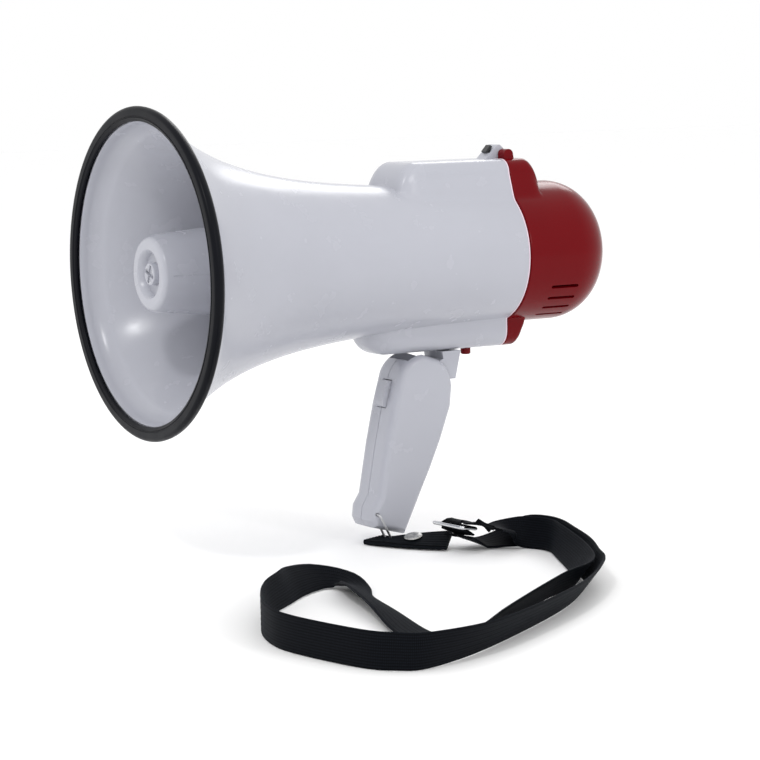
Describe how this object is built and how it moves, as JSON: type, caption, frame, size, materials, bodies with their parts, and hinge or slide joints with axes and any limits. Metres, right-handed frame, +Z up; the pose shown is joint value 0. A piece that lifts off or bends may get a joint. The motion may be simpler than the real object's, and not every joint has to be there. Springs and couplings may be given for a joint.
{
  "type": "handheld megaphone",
  "caption": "Handheld megaphone with a flared bell, centre reflector, hinged rear cap, folding pistol grip with a push-to-talk trigger, and a looped wrist strap.",
  "frame": {"origin": "middle of the hand grip, in its parting plane, half way up and half way between its front and rear", "axes": "+Z up with the horn level, +Y from the mouth along the horn's axis to the rear cap, +X completes the right-handed frame"},
  "size_m": [0.3473, 0.2925, 0.2219],
  "materials": {
    "white_plastic": "glossy cool light grey moulding",
    "red_plastic": "glossy deep red moulding",
    "rubber": "satin black rubber",
    "webbing": "woven black webbing",
    "chrome": "bright plated",
    "steel": "plain plated",
    "black_plastic": "fine matte",
    "ferrite": "dull sintered",
    "board": "solder mask",
    "film": "smooth film",
    "foam": "open foam",
    "copper": "wound wire",
    "cell_jacket": "printed jacket"
  },
  "bodies": {
    "housing": {"horn_body": "white_plastic", "rim_bumper": "rubber", "reflector": "white_plastic", "reflector_screw": "white_plastic", "throat_tube": "white_plastic", "driver_frame": "black_plastic", "driver_top_plate": "steel", "driver_magnet": "ferrite", "driver_yoke": "steel", "battery_bulkhead": "black_plastic", "battery_cell_1": "cell_jacket", "battery_cell_2": "cell_jacket", "battery_cell_3": "cell_jacket", "battery_cell_4": "cell_jacket", "cell_spring_1": "steel", "cell_spring_2": "steel", "cell_spring_3": "steel", "cell_spring_4": "steel", "amplifier_board": "board", "output_transformer": "ferrite", "filter_capacitor": "black_plastic", "amplifier_chip": "black_plastic", "mode_switch_body": "black_plastic", "cap_hinge_pin": "steel", "latch_spring": "steel", "handle_neck": "white_plastic", "fold_pin": "steel", "neck_screw_1": "steel", "neck_screw_2": "steel"},
    "cap": {"rear_cap": "red_plastic", "cap_contact_board": "board", "microphone": "steel", "microphone_foam": "foam", "volume_control": "steel"},
    "knob": {"volume_knob": "black_plastic"},
    "cone": {"diaphragm": "film", "voice_coil": "copper"},
    "slider": {"mode_slider": "black_plastic"},
    "latch": {"latch_button": "red_plastic"},
    "grip": {"grip_shell_right": "white_plastic", "grip_shell_left": "white_plastic", "grip_screw_1": "steel", "grip_screw_2": "steel", "grip_screw_3": "steel", "trigger_switch": "black_plastic", "strap_link": "steel", "strap_tab": "webbing", "strap_rivet": "chrome", "strap_buckle": "chrome", "strap_webbing": "webbing"},
    "trigger": {"trigger": "white_plastic"}
  },
  "joints": [
    {"name": "handle_fold", "type": "hinge", "parent": "housing", "child": "grip", "pos_m": [0, 0.0055, 0.0348], "axis": [-1, 0, 0], "range_deg": [0, 55]},
    {"name": "cap_hinge", "type": "hinge", "parent": "housing", "child": "cap", "pos_m": [0, 0.0583, 0.1483], "axis": [1, 0, 0], "range_deg": [0, 100]},
    {"name": "trigger_press", "type": "slide", "parent": "grip", "child": "trigger", "axis": [0, 0.9608, -0.2773], "range_m": [0, 0.0022], "stiffness_N_per_m": 800, "springref_m": -0.0012},
    {"name": "latch_press", "type": "slide", "parent": "housing", "child": "latch", "axis": [0, 0, 1], "range_m": [0, 0.0022], "stiffness_N_per_m": 600, "springref_m": -0.0015, "deforming": ["latch_spring"]},
    {"name": "mode_slide", "type": "slide", "parent": "housing", "child": "slider", "axis": [1, 0, 0], "range_m": [-0.0014, 0.0014]},
    {"name": "volume_turn", "type": "hinge", "parent": "cap", "child": "knob", "pos_m": [0, 0.1095, 0.0895], "axis": [0, 1, 0], "range_deg": [0, 300]},
    {"name": "cone_travel", "type": "slide", "parent": "housing", "child": "cone", "axis": [0, 1, 0], "range_m": [-0.0004, 0.0004], "stiffness_N_per_m": 3000}
  ]
}
